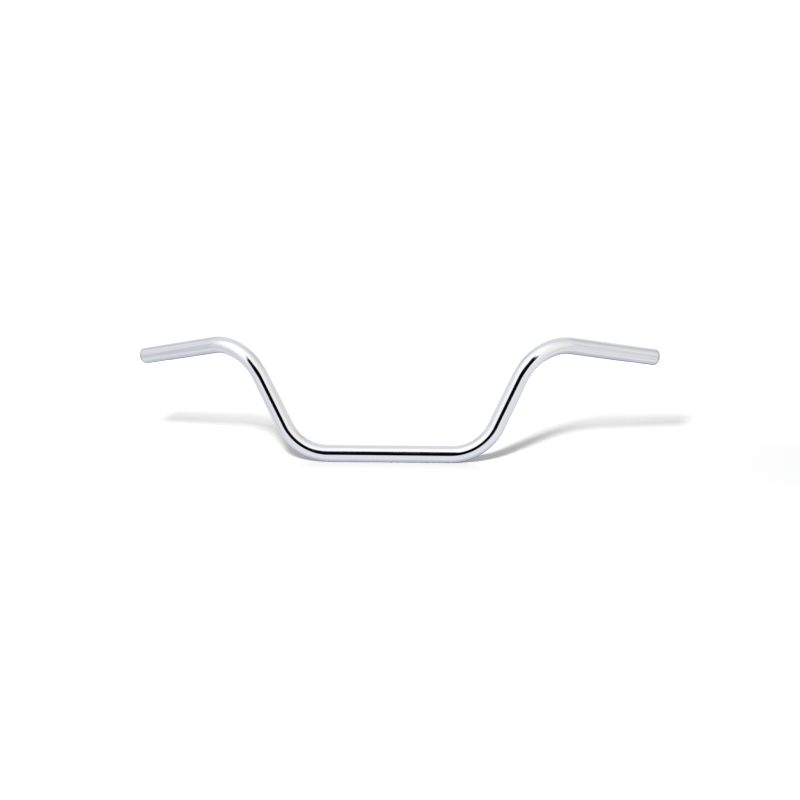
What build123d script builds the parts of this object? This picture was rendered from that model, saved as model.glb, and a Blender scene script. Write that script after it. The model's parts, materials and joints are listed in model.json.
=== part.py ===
from build123d import *
import math
import os

# A bare motorcycle handlebar: one round steel tube, bent cold on a single radius in four
# places, with a low domed plug pressed into each open end. Millimetres and degrees.
#
# Frame: the origin is the middle of the clamp section, on the tube's axis. +X runs along the
# clamp section, +Z is the way the uprights rise, and +Y points back to the rider, the way the
# grips sweep. The bar mirrors across the YZ plane. Left and right are the rider's, who faces
# -Y, so the left half of the bar is the one at +X.

# Tube
tube_diameter = 25.4
wall_thickness = 2.5
bend_radius = 3 * tube_diameter
tube_end_break = 0.4

# Line of the bar: straight runs that meet in corners, which the bends then round
clamp_corner_spacing = 283.0
upright_length = 192.5
upright_angle = 64.5
grip_length = 217.5
grip_sweep = 32.5
grip_drop = 9.8

# End plugs: a head as wide as the tube, and a grooved spigot that fills the bore
head_height = 5.2
head_crown_radius = 45.0
head_edge_radius = 4.0
spigot_length = 22.0
spigot_lead_in = 1.0
groove_count = 3
groove_pitch = 5.0
groove_width = 1.6
groove_depth = 0.8
recess_diameter = 12.0
recess_depth = 18.0

tube_radius = tube_diameter / 2
bore_radius = tube_radius - wall_thickness


def direction(angle_up, angle_back):
    """Unit vector that leaves +X, tilted up by one angle and swept back by the other."""
    level = math.cos(math.radians(angle_up))
    return Vector(
        level * math.cos(math.radians(angle_back)),
        level * math.sin(math.radians(angle_back)),
        math.sin(math.radians(angle_up)),
    )


# Corners of the left half, from the clamp section out, and their mirror images
foot = Vector(clamp_corner_spacing / 2, 0, 0)
shoulder = foot + direction(upright_angle, 0) * upright_length
tip = shoulder + direction(-grip_drop, grip_sweep) * grip_length
left_corners = [foot, shoulder, tip]
right_corners = [Vector(-corner.X, corner.Y, corner.Z) for corner in left_corners]

os.makedirs("parts", exist_ok=True)

# Tube: a ring carried along the rounded line of the bar, from the right tip to the left one
with BuildPart() as handlebar_tube:
    with BuildLine() as centreline:
        FilletPolyline(*reversed(right_corners), *left_corners, radius=bend_radius)
    right_end = centreline.line @ 0
    right_outward = (centreline.line % 0) * -1
    left_end = centreline.line @ 1
    left_outward = centreline.line % 1
    with BuildSketch(Plane(origin=right_end, z_dir=right_outward)):
        Circle(tube_radius)
        Circle(bore_radius, mode=Mode.SUBTRACT)
    sweep(path=centreline.line)
    cut_faces = handlebar_tube.faces().filter_by(GeomType.PLANE)
    chamfer(cut_faces.edges(), length=tube_end_break)

handlebar_tube.part.label = "handlebar_tube"
export_step(handlebar_tube.part, "parts/handlebar_tube.step")

# End plugs: one profile, drawn with its first axis across the tube and its second axis
# outward along it from the tube's cut end, and turned about the tube's axis
plug_ends = [
    ("end_plug_left", left_end, left_outward),
    ("end_plug_right", right_end, right_outward),
]

for plug_name, end_point, outward in plug_ends:
    across = outward.cross(Vector(0, 0, 1)).normalized()
    profile_plane = Plane(origin=end_point, x_dir=across, z_dir=across.cross(outward))
    plug_axis = Axis(end_point, outward)
    crown_sag = head_crown_radius - math.sqrt(head_crown_radius**2 - tube_radius**2)
    with BuildPart() as end_plug:
        with BuildSketch(profile_plane) as profile:
            with BuildLine():
                RadiusArc((0, head_height), (tube_radius, head_height - crown_sag), head_crown_radius)
                Polyline(
                    (tube_radius, head_height - crown_sag),
                    (tube_radius, 0),
                    (bore_radius, 0),
                    (bore_radius, spigot_lead_in - spigot_length),
                    (bore_radius - spigot_lead_in, -spigot_length),
                    (0, -spigot_length),
                    (0, head_height),
                )
            make_face()
            rim_corner = profile.vertices().group_by(Axis.X)[-1].sort_by(Axis.Y)[-1]
            fillet(rim_corner, radius=head_edge_radius)
        revolve(axis=plug_axis)
        # Grooves round the spigot leave the lands that grip the bore
        for groove in range(groove_count):
            groove_centre = -(groove + 1) * groove_pitch
            with BuildSketch(profile_plane):
                with Locations((bore_radius, groove_centre)):
                    Rectangle(2 * groove_depth, groove_width)
            revolve(axis=plug_axis, mode=Mode.SUBTRACT)
        # Blind recess up the middle of the spigot, from inside the tube
        with BuildSketch(Plane(origin=end_point - outward * spigot_length, z_dir=outward)):
            Circle(recess_diameter / 2)
        extrude(amount=recess_depth, mode=Mode.SUBTRACT)
    end_plug.part.label = plug_name
    export_step(end_plug.part, f"parts/{plug_name}.step")
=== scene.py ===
import json
import math

import bpy
import numpy as np
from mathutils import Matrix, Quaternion, Vector


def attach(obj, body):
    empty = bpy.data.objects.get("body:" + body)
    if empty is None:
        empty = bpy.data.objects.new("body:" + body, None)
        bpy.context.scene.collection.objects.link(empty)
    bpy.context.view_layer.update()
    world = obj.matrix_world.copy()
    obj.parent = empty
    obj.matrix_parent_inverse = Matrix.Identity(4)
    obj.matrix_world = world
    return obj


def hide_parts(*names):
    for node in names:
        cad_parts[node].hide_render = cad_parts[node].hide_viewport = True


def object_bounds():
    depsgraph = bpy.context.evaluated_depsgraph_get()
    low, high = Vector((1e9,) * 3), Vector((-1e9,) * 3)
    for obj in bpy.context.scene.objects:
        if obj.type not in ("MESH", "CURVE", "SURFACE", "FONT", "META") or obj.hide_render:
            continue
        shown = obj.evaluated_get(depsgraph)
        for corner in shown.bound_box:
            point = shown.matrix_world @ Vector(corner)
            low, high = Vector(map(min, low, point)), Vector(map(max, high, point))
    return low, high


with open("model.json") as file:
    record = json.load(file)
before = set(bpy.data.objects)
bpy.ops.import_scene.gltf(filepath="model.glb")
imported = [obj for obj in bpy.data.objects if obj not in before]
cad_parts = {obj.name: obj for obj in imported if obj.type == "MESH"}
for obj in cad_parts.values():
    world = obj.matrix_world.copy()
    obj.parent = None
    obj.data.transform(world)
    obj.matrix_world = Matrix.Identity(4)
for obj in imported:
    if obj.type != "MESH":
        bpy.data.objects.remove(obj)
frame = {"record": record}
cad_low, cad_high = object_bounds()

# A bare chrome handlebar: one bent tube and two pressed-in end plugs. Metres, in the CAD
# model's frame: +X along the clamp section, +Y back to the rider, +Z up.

MM = 0.001

# ---- Sizes: what the record's mounts give, and the few that they don't ----

mounts = {mount["name"]: mount for mount in frame["record"]["mounts"]}
clamp_zone = mounts["clamp_zone"]
grip_zone = mounts["grip_left"]

tube_radius = clamp_zone["dims"]["r_mm"] * MM
clamp_half = clamp_zone["dims"]["length_mm"] * MM / 2
grip_axis = np.array(grip_zone["axis"])
grip_middle = np.array(grip_zone["pos_m"])
grip_half = grip_zone["dims"]["length_mm"] * MM / 2

bend_radius = 6 * tube_radius
wall_thickness = 2.5 * MM
end_break = 0.4 * MM
bore_radius = tube_radius - wall_thickness

# Cold bending flattens the tube a little towards the middle of each bend
bend_flattening = 0.022
flattening_ease = 16 * MM

# End plug, along its axis from the tube's cut end
head_height = 5.2 * MM
crown_radius = 45 * MM
head_edge_radius = 4 * MM
head_rim_break = 0.4 * MM
spigot_length = 22 * MM
spigot_lead_in = 1 * MM
groove_count = 3
groove_pitch = 5 * MM
groove_width = 1.6 * MM
groove_depth = 0.8 * MM
recess_radius = 6 * MM
recess_depth = 18 * MM

# Grid steps of the surfaces, and the angle in degrees past which an edge is shaded sharp
tube_steps_around = 104
tube_step_along = 1.7 * MM
bore_step_along = 6 * MM
plug_steps_around = 160
arc_steps = 12
sharp_angle = 40

# Finish. A grain is how fine a noise is, per metre, along the unbent piece and across it.
tint_grain = (14, 60, 60)
belt_line_grain = (3200, 90, 90)
hair_grain = (35, 420, 420)
scratched_grain = (60, 110, 110)
handled_grain = (38, 75, 75)
pitted_grain = (25, 25, 25)
pits_per_metre = 260.0
ring_waves = 9000.0
joint_shade = (0.22, 0.22, 0.24, 1)
bump_height = 0.02 * MM


# ---- The bar's line ----


def left_half_runs():
    """The runs of the bar's left half, from its middle out, each as (length, start, direction,
    inward, radius). A straight run has radius None.

    The shoulder corner is where the grip's axis meets the plane Y = 0. The upright lies on
    the tangent from that corner to the lower bend's circle, whose centre is one bend radius
    above the end of the clamp section. The upper bend's tangent length is
    radius * tan(turn / 2).
    """
    shoulder = grip_middle - grip_axis * grip_middle[1] / grip_axis[1]
    from_centre = shoulder - np.array([clamp_half, 0, bend_radius])
    tangent = math.sqrt(from_centre @ from_centre - bend_radius**2)
    lean = math.atan2(from_centre[2], from_centre[0]) + math.atan2(bend_radius, tangent)
    along_x = np.array([1.0, 0, 0])
    along_z = np.array([0, 0, 1.0])
    upright = np.array([math.cos(lean), 0, math.sin(lean)])
    upright_start = shoulder - upright * tangent

    turn = math.acos(upright @ grip_axis)
    shoulder_tangent = bend_radius * math.tan(turn / 2)
    upright_end = shoulder - upright * shoulder_tangent
    inward = grip_axis - upright * (upright @ grip_axis)
    inward /= np.linalg.norm(inward)
    grip_start = shoulder + grip_axis * shoulder_tangent
    cut_end = grip_middle + grip_axis * (grip_half + end_break)

    return [
        (clamp_half, np.zeros(3), along_x, along_z, None),
        (bend_radius * lean, along_x * clamp_half, along_x, along_z, bend_radius),
        (tangent - shoulder_tangent, upright_start, upright, inward, None),
        (bend_radius * turn, upright_end, upright, inward, bend_radius),
        (np.linalg.norm(cut_end - grip_start), grip_start, grip_axis, grip_axis, None),
    ]


runs = left_half_runs()
half_length = sum(run[0] for run in runs)


def bar_line(distance):
    """Point, forward direction and flattening of the bar's line at signed distances from its
    middle, as arrays.

    On a straight run the point is start + d * direction. In a bend, with a = d / radius, it
    is start + radius * (sin a * direction + (1 - cos a) * inward). The right half mirrors
    the left one. Flattening is a vector towards the bend's centre. Its length eases from 0
    on the straights to 1 in the bends, over flattening_ease on both sides of each bend's end.
    """
    side = np.where(distance < 0, -1.0, 1.0)[:, None]
    reach = np.abs(distance)
    point = np.zeros((len(distance), 3))
    forward = np.zeros((len(distance), 3))
    flattening = np.zeros((len(distance), 3))
    begin = 0.0
    for length, start, direction, inward, radius in runs:
        inside = (reach >= begin - 1e-9) & (reach <= begin + length + 1e-9)
        d = (reach - begin)[:, None]
        if radius is None:
            here, ahead = start + d * direction, direction + 0 * d
        else:
            a = d / radius
            here = start + radius * (np.sin(a) * direction + (1 - np.cos(a)) * inward)
            ahead = np.cos(a) * direction + np.sin(a) * inward
            held = np.clip(a, 0, length / radius)
            centreward = np.cos(held) * inward - np.sin(held) * direction
            depth = np.minimum(d, length - d)
            ease = np.clip((depth + flattening_ease) / (2 * flattening_ease), 0, 1)
            flattening += ease * ease * (3 - 2 * ease) * centreward
        point[inside] = here[inside]
        forward[inside] = ahead[inside]
        begin += length
    mirror = np.hstack([side, np.ones_like(side), np.ones_like(side)])
    return point * mirror, forward * mirror * side, flattening * mirror


# ---- Meshes ----


def add_piece(name, points, faces, unbent):
    """A mesh object of these points and faces, with its place in its mesh. The attribute
    "unbent" holds each point's place on the piece as if it lay straight along one axis, so
    that a finish follows the bends."""
    mesh = bpy.data.meshes.new(name)
    mesh.from_pydata(points, [], faces)
    attribute = mesh.attributes.new("unbent", "FLOAT_VECTOR", "POINT")
    attribute.data.foreach_set("vector", unbent.astype(np.float32).ravel())
    mesh.shade_smooth()
    mesh.set_sharp_from_angle(angle=math.radians(sharp_angle))
    mesh.update()
    piece = bpy.data.objects.new(name, mesh)
    bpy.context.scene.collection.objects.link(piece)
    return piece


def grid_faces(rows, columns, rows_close):
    """The quads of a grid whose columns close on themselves, and its rows too if asked."""
    row = np.arange(rows if rows_close else rows - 1)[:, None]
    column = np.arange(columns)[None, :]
    next_row = (row + 1) % rows
    next_column = (column + 1) % columns
    corners = [
        row * columns + column,
        row * columns + next_column,
        next_row * columns + next_column,
        next_row * columns + column,
    ]
    return np.stack(corners, axis=-1).reshape(-1, 4)


def arc(centre_along, centre_out, radius, first, last, count=arc_steps // 2):
    """An arc as (along, from axis) rows: centre + radius * (cos angle, sin angle), at even
    steps of the angle, in degrees, from the first to the last."""
    angle = np.radians(np.linspace(first, last, count))
    along = centre_along + radius * np.cos(angle)
    out = centre_out + radius * np.sin(angle)
    return np.stack([along, out], axis=1)


def tube_section():
    """The closed line that the tube's wall follows lengthwise, as (distance, radius) rows: out
    along the outside, round the cut end, back along the bore, and round the other end."""
    straight_end = half_length - end_break
    outside = np.arange(-straight_end, straight_end, tube_step_along)
    inside = np.arange(straight_end, -straight_end, -bore_step_along)
    outer_round = arc(straight_end, tube_radius - end_break, end_break, 90, 0)
    inner_round = arc(straight_end, bore_radius + end_break, end_break, 0, -90)
    cut = np.vstack([outer_round, inner_round])
    far_cut = cut[::-1] * [-1, 1]
    outside_rows = np.stack([outside, np.full_like(outside, tube_radius)], axis=1)
    inside_rows = np.stack([inside, np.full_like(inside, bore_radius)], axis=1)
    return np.vstack([outside_rows, cut, inside_rows[1:], far_cut[:-1]])


def make_tube():
    """The bent tube. At distance s and angle t its wall is line(s) + r * d, where the spoke
    d = cos t * e1 + sin t * e2 stands square to the line. Bends pull the spoke's share
    towards their centre in by the flattening, and push its share across the bend out by
    half as much. e1 is the rider's direction made square to the line, and e2 completes it."""
    section = tube_section()
    distance, radius = section[:, 0], section[:, 1]
    point, forward, flattening = bar_line(distance)
    rearward = np.array([0, 1.0, 0])
    e1 = rearward - forward * (forward @ rearward)[:, None]
    e1 /= np.linalg.norm(e1, axis=1)[:, None]
    e2 = np.cross(forward, e1)
    across = np.cross(forward, flattening)

    t = np.linspace(0, 2 * math.pi, tube_steps_around, endpoint=False)[None, :, None]
    spoke = np.cos(t) * e1[:, None, :] + np.sin(t) * e2[:, None, :]
    inward_share = (spoke * flattening[:, None, :]).sum(axis=2, keepdims=True)
    across_share = (spoke * across[:, None, :]).sum(axis=2, keepdims=True)
    spoke -= bend_flattening * inward_share * flattening[:, None, :]
    spoke += bend_flattening / 2 * across_share * across[:, None, :]
    points = point[:, None, :] + radius[:, None, None] * spoke

    unbent = np.concatenate(
        [
            np.broadcast_to(distance[:, None, None], points.shape[:2] + (1,)),
            radius[:, None, None] * np.cos(t),
            radius[:, None, None] * np.sin(t),
        ],
        axis=2,
    )
    faces = grid_faces(len(section), tube_steps_around, rows_close=True)
    return add_piece("chromed_tube", points.reshape(-1, 3), faces, unbent.reshape(-1, 3))


def plug_profile():
    """Half section of an end plug as (along, from axis) rows, from the middle of its crown to
    the middle of its recess. The crown's arc meets the head's rounded edge where both have
    the same slope: sin(angle) = (tube radius - edge radius) / (crown radius - edge radius)."""
    edge_out = tube_radius - head_edge_radius
    meeting = math.asin(edge_out / (crown_radius - head_edge_radius))
    crown_centre = head_height - crown_radius
    edge_centre = crown_centre + (crown_radius - head_edge_radius) * math.cos(meeting)
    meeting = math.degrees(meeting)
    rim_out = tube_radius - head_rim_break

    crown = arc(crown_centre, 0, crown_radius, 0, meeting, arc_steps)[1:]
    edge = arc(edge_centre, edge_out, head_edge_radius, meeting, 90, 2 * arc_steps)[1:]
    rim = arc(head_rim_break, rim_out, head_rim_break, 90, 180)

    bottom = bore_radius - groove_depth
    corners = [(0, bore_radius)]
    for groove in range(groove_count):
        near = groove_width / 2 - (groove + 1) * groove_pitch
        far = near - groove_width
        corners += [(near, bore_radius), (near, bottom), (far, bottom), (far, bore_radius)]
    corners += [
        (spigot_lead_in - spigot_length, bore_radius),
        (-spigot_length, bore_radius - spigot_lead_in),
        (-spigot_length, recess_radius),
        (recess_depth - spigot_length, recess_radius),
    ]
    return np.vstack([[(head_height, 0)], crown, edge, rim, corners, [(corners[-1][0], 0)]])


def make_plug(name, end_point, outward):
    """An end plug: its half section turned about the grip's axis. At angle t a row (a, r) lies
    at end + a * outward + r * (cos t * e1 + sin t * e2). The first and last rows are the
    single points where the section meets the axis."""
    profile = plug_profile()
    rearward = np.array([0, 1.0, 0])
    e1 = rearward - outward * (outward @ rearward)
    e1 /= np.linalg.norm(e1)
    e2 = np.cross(outward, e1)

    body = profile[1:-1]
    t = np.linspace(0, 2 * math.pi, plug_steps_around, endpoint=False)[None, :, None]
    spoke = np.cos(t) * e1 + np.sin(t) * e2
    along = body[:, 0][:, None, None]
    out = body[:, 1][:, None, None]
    rings = (end_point + along * outward + out * spoke).reshape(-1, 3)
    turned = np.concatenate([along + 0 * t, out * np.cos(t), out * np.sin(t)], axis=2)
    poles = end_point + profile[[0, -1], :1] * outward
    points = np.vstack([rings, poles])
    unbent = np.vstack([turned.reshape(-1, 3), [(profile[0, 0], 0, 0), (profile[-1, 0], 0, 0)]])

    here = np.arange(plug_steps_around)
    ahead = (here + 1) % plug_steps_around
    last_ring = (len(body) - 1) * plug_steps_around
    crown_pole = np.full_like(here, len(rings))
    crown_fan = np.stack([here, ahead, crown_pole], axis=1)
    recess_fan = np.stack([last_ring + ahead, last_ring + here, crown_pole + 1], axis=1)
    quads = grid_faces(len(body), plug_steps_around, rows_close=False)[:, ::-1]
    faces = quads.tolist() + crown_fan.tolist() + recess_fan.tolist()
    return add_piece(name, points, faces, unbent)


# ---- Shader maths ----


class Signal:
    """A shader socket that the operators below work on: each one adds a Math node."""

    def __init__(self, tree, socket=None):
        self.tree = tree
        self.socket = socket

    def node(self, kind, settings=None, values=None, output=0):
        """Adds a node of any kind: its settings, then its sockets' values or links."""
        made = self.tree.nodes.new(kind)
        for key, value in (settings or {}).items():
            setattr(made, key, value)
        for key, value in (values or {}).items():
            if isinstance(value, Signal):
                value.feed(made.inputs[key])
            else:
                made.inputs[key].default_value = value
        return Signal(self.tree, made.outputs[output])

    def feed(self, target):
        """Links this socket to a node's input."""
        self.tree.links.new(self.socket, target)

    def math(self, operation, first, second=0.0):
        return self.node("ShaderNodeMath", {"operation": operation}, {0: first, 1: second})

    def __add__(self, other):
        return self.math("ADD", self, other)

    def __sub__(self, other):
        return self.math("SUBTRACT", self, other)

    def __rsub__(self, other):
        return self.math("SUBTRACT", other, self)

    def __mul__(self, other):
        return self.math("MULTIPLY", self, other)

    __radd__ = __add__
    __rmul__ = __mul__

    def __abs__(self):
        return self.math("ABSOLUTE", self)

    def sine(self):
        return self.math("SINE", self)

    def ramp(self, low, high):
        """0 at low, 1 at high, with a smooth step between. High may be the smaller."""
        return self.node(
            "ShaderNodeMapRange",
            {"interpolation_type": "SMOOTHSTEP"},
            {"Value": self, "From Min": low, "From Max": high},
        )

    def blend(self, first, second):
        """A colour: first where this is 0, second where it is 1. A Mix node's colours are its
        sockets 6 and 7, and its output 2."""
        return self.node("ShaderNodeMix", {"data_type": "RGBA"}, {0: self, 6: first, 7: second}, 2)

    def axis(self, letter):
        """One of a vector's three numbers."""
        return self.node("ShaderNodeSeparateXYZ", None, {0: self}, letter)

    def scaled(self, factors):
        """A vector, each number times its own factor."""
        settings = {"operation": "MULTIPLY"}
        return self.node("ShaderNodeVectorMath", settings, {0: self, 1: factors})

    def length(self):
        """A vector's length."""
        return self.node("ShaderNodeVectorMath", {"operation": "LENGTH"}, {0: self}, "Value")

    def dot(self, direction):
        """A vector's share along a direction: the cosine of the angle between, if both are 1
        long."""
        settings = {"operation": "DOT_PRODUCT"}
        return self.node("ShaderNodeVectorMath", settings, {0: self, 1: direction}, "Value")


def new_material(name):
    """A material, its shader, and the signal that its first nodes are added from."""
    material = bpy.data.materials.new(name)
    material.use_nodes = True
    shader = material.node_tree.nodes["Principled BSDF"]
    return material, shader, Signal(material.node_tree)


# ---- Chrome ----


def grained(coordinates, grain, detail=2.0):
    """Noise of a grain: the unbent place is stretched by it, axis by axis."""
    values = {"Vector": coordinates.scaled(grain), "Scale": 1.0, "Detail": detail}
    return coordinates.node("ShaderNodeTexNoise", None, values)


def chrome(name, turned):
    """Bright chrome plate: a hard mirror with a slight blue cast. It carries the fine lines of
    the polishing belt round the tube, a few long hair scratches, tiny pits in the plate, and
    faint patches where hands have dulled it. It darkens into the hairline joint between tube
    and plug. A turned piece also has lathe rings on its face."""
    material, shader, start = new_material(name)
    place = start.node("ShaderNodeAttribute", {"attribute_name": "unbent"}, output="Vector")
    along = place.axis("X")
    if turned:
        joint = along.ramp(0.7 * MM, 0.2 * MM)
    else:
        joint = abs(along).ramp(half_length - 0.8 * MM, half_length - 0.3 * MM)

    tint = grained(place, tint_grain).ramp(0.3, 0.7)
    plate = tint.blend((0.79, 0.80, 0.83, 1), (0.83, 0.835, 0.85, 1))
    joint.blend(plate, joint_shade).feed(shader.inputs["Base Color"])

    belt_lines = grained(place, belt_line_grain, 1.0)
    hair = abs(grained(place, hair_grain, 0.0) - 0.5)
    scratched = grained(place, scratched_grain, 0.0).ramp(0.50, 0.62)
    scratch = (1.0 - hair.ramp(0.0, 0.006)) * scratched
    handled = grained(place, handled_grain, 3.0).ramp(0.48, 0.72)
    pit_distance = place.node(
        "ShaderNodeTexVoronoi", None, {"Vector": place, "Scale": pits_per_metre}, "Distance"
    )
    pitted = grained(place, pitted_grain, 0.0).ramp(0.55, 0.7)
    pits = pit_distance.ramp(0.055, 0.03) * pitted

    roughness = 0.04 + 0.03 * belt_lines + 0.12 * scratch + 0.06 * handled + 0.25 * pits
    roughness = roughness + 0.25 * joint
    height = 0.25 * belt_lines - 0.6 * scratch - 1.0 * pits
    if turned:
        from_axis = place.scaled((0, 1, 1)).length()
        rings = (from_axis * ring_waves).sine()
        roughness = roughness + 0.01 * rings
        height = height + 0.15 * rings
    roughness.feed(shader.inputs["Roughness"])

    bump_values = {"Strength": 0.2, "Distance": bump_height, "Height": height}
    start.node("ShaderNodeBump", None, bump_values).feed(shader.inputs["Normal"])
    shader.inputs["Metallic"].default_value = 1.0
    return material


# ---- Pieces ----

tube_chrome = chrome("tube_chrome", turned=False)
plug_chrome = chrome("plug_chrome", turned=True)

tube = make_tube()
tube.data.materials.append(tube_chrome)
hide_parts("handlebar_tube")
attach(tube, "root")

end_points, end_directions, _ = bar_line(np.array([half_length, -half_length]))
for rider_side, end_point, outward in (
    ("left", end_points[0], end_directions[0]),
    ("right", end_points[1], -end_directions[1]),
):
    plug = make_plug(f"domed_plug_{rider_side}", end_point, outward)
    plug.data.materials.append(plug_chrome)
    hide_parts(f"end_plug_{rider_side}")
    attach(plug, "root")


# ---- Studio ----


floor_half = 1.3
# The floor's two tones: the front one darker, painted shade where the key lamp falls strongest,
# and the back one lighter, painted light where the lamp falls weakest
floor_front_shaded_tone = (0.285, 0.285, 0.285, 1)
floor_back_lit_tone = (0.375, 0.375, 0.372, 1)

# The tent's panels, each laid over the ones before it. A row is: azimuth and elevation of its
# middle, the degrees from there within which it is whole, the degrees at which it is gone,
# whether it stops at the bar's own plane, and its colour.
tent_panels = (
    (180, -58, 5, 56, False, (0.60, 0.63, 0.72, 1)),  # cool shade low behind
    (-90, -15, 5, 38, False, (0.77, 0.77, 0.81, 1)),  # grey wall, -X side
    (90, 28, 50, 65, False, (0.82, 0.82, 0.83, 1)),  # pale wall, +X side
    (0, 80, 45, 80, True, (0.92, 0.92, 0.91, 1)),  # roof over the front
    (28, 18, 20, 48, False, (1.07, 1.03, 0.94, 1)),  # warm reflector, front, +X side
    (-28, 43, 12, 60, True, (1.20, 1.21, 1.22, 1)),  # bright diffuser, front, -X side
    (-136, 31, 4, 18, False, (0.66, 0.67, 0.70, 1)),  # grey fold behind, -X side
    (130, 42, 6, 22, False, (0.66, 0.67, 0.69, 1)),  # grey fold behind, +X side
)
tent_low_colour = (0.90, 0.91, 0.97, 1)
tent_high_colour = (0.84, 0.85, 0.90, 1)
seam_azimuths = (-79, 71)
seam_colour = (0.68, 0.68, 0.71, 1)
opening_colour = (0.0, 0.001, 0.002, 1)
slit_colour = (0.01, 0.012, 0.02, 1)
rear_opening_colour = (0.05, 0.053, 0.06, 1)
backdrop_white = (1.05, 1.05, 1.05, 1)


def make_floor():
    """A plain pale sheet that the clamp section rests on, wide enough for the bar's shadows.
    Its tone rises a little from front to back: painted shade at the front, where the key lamp
    falls strongest, and painted light at the back, so that the lit sheet comes out evenly
    bright. It also glows towards its edges, painted light that keeps it as bright there as
    under the lamps."""
    level = cad_low.z
    corners = [(x, y, level) for x in (-floor_half, floor_half) for y in (-floor_half, floor_half)]
    mesh = bpy.data.meshes.new("studio_floor")
    mesh.from_pydata(corners, [], [(0, 2, 3, 1)])
    floor = bpy.data.objects.new("studio_floor", mesh)
    bpy.context.scene.collection.objects.link(floor)

    material, shader, start = new_material("floor_paper")
    place = start.node("ShaderNodeTexCoord", output="Object")
    grain = start.node("ShaderNodeTexNoise", None, {"Vector": place, "Scale": 900.0})
    # Painted shade: the tone darkens towards the front, where the key lamp falls strongest, over a
    # fine random grain
    painted_shade_and_grain = place.axis("Y").ramp(-0.30, 0.50) * 0.9 + grain * 0.1
    painted_shade_and_grain.blend(floor_front_shaded_tone, floor_back_lit_tone).feed(shader.inputs["Base Color"])
    # Painted light: the sheet glows towards its edges
    glow = place.length().ramp(0.6, 1.2).blend((0, 0, 0, 1), (0.4, 0.4, 0.4, 1))
    glow.feed(shader.inputs["Emission Color"])
    shader.inputs["Emission Strength"].default_value = 1.0
    shader.inputs["Roughness"].default_value = 0.9
    shader.inputs["Specular IOR Level"].default_value = 0.0
    mesh.materials.append(material)
    floor.visible_glossy = False


def toward(azimuth, elevation):
    """Unit vector of a direction: azimuth 0 is the front, -Y, and grows towards +X."""
    a = math.radians(azimuth)
    e = math.radians(elevation)
    return (math.sin(a) * math.cos(e), -math.cos(a) * math.cos(e), math.sin(e))


def make_tent():
    """The surroundings that the chrome mirrors: a pale tent round the bar, with its panels,
    two faint seams, a dark opening in front that a slit carries upwards, and a smaller
    opening low behind. What the camera sees past the floor is plain white."""
    world = bpy.data.worlds.new("tent")
    bpy.context.scene.world = world
    world.use_nodes = True
    start = Signal(world.node_tree)
    ray = start.node("ShaderNodeTexCoord", output="Generated")

    def patch(azimuth, elevation, inner, outer):
        """1 within inner degrees of a direction, falling smoothly to 0 at outer degrees."""
        nearness = ray.dot(toward(azimuth, elevation))
        return nearness.ramp(math.cos(math.radians(outer)), math.cos(math.radians(inner)))

    ahead = ray.axis("Y").ramp(0.01, -0.03)
    colour = ray.axis("Z").ramp(-0.5, 0.45).blend(tent_low_colour, tent_high_colour)
    for azimuth, elevation, inner, outer, front_only, panel_colour in tent_panels:
        panel = patch(azimuth, elevation, inner, outer)
        if front_only:
            panel = panel * ahead
        colour = panel.blend(colour, panel_colour)
    for azimuth in seam_azimuths:
        beside = abs(ray.dot(toward(azimuth + 90, 0)))
        seam = beside.ramp(0.030, 0.012) * patch(azimuth, -8, 20, 45)
        colour = seam.blend(colour, seam_colour)

    # A patch whose radii are near 90 degrees is one side of a plane: it cuts the other patch
    opening = patch(0, 3, 23, 29) * patch(48, 71, 90, 94)
    colour = opening.blend(colour, opening_colour)
    slit = patch(-6, 29, 7, 13) * patch(78, 0, 88, 91)
    colour = slit.blend(colour, slit_colour)
    rear_opening = patch(180, -20, 18, 25)
    colour = rear_opening.blend(colour, rear_opening_colour)

    seen = start.node("ShaderNodeLightPath", output="Is Camera Ray")
    background = world.node_tree.nodes["Background"]
    seen.blend(colour, backdrop_white).feed(background.inputs["Color"])


def make_softbox(name, azimuth, elevation, distance, width, height, power):
    """A soft light in that direction from the bar, facing it. The chrome doesn't mirror it."""
    light = bpy.data.lights.new(name, "AREA")
    light.shape = "RECTANGLE"
    light.size = width
    light.size_y = height
    light.energy = power
    lamp = bpy.data.objects.new(name, light)
    bpy.context.scene.collection.objects.link(lamp)
    away = Vector(toward(azimuth, elevation))
    lamp.location = (cad_low + cad_high) / 2 + away * distance
    lamp.rotation_mode = "QUATERNION"
    lamp.rotation_quaternion = away.to_track_quat("Z", "Y")
    lamp.visible_glossy = False
    lamp.visible_camera = False


def make_camera(azimuth, elevation, roll, distance, offset, lens):
    """The camera, in that direction from a point beside the bar's middle, and facing it."""
    aim = (cad_low + cad_high) / 2 + Vector(offset)
    back = Vector(toward(azimuth, elevation))
    camera_data = bpy.data.cameras.new("camera")
    camera_data.sensor_width = 36
    camera_data.lens = lens
    camera = bpy.data.objects.new("camera", camera_data)
    bpy.context.scene.collection.objects.link(camera)
    camera.location = aim + back * distance
    camera.rotation_mode = "QUATERNION"
    turn = Quaternion((0, 0, 1), math.radians(roll))
    camera.rotation_quaternion = (-back).to_track_quat("-Z", "Y") @ turn
    bpy.context.scene.camera = camera


make_floor()
make_tent()

# The key stands close, so that the shadows spread and soften away from the bar
make_softbox(
    "key", azimuth=-3, elevation=26.8, distance=2.5, width=0.19, height=0.37, power=265
)
make_softbox("rim", azimuth=183, elevation=19, distance=2.0, width=2.4, height=0.9, power=58)
make_camera(
    azimuth=5.39,
    elevation=8.22,
    roll=-0.43,
    distance=2.417,
    offset=(0.0108, 0, -0.0072),
    lens=69.8,
)
bpy.context.scene.view_settings.view_transform = "Standard"
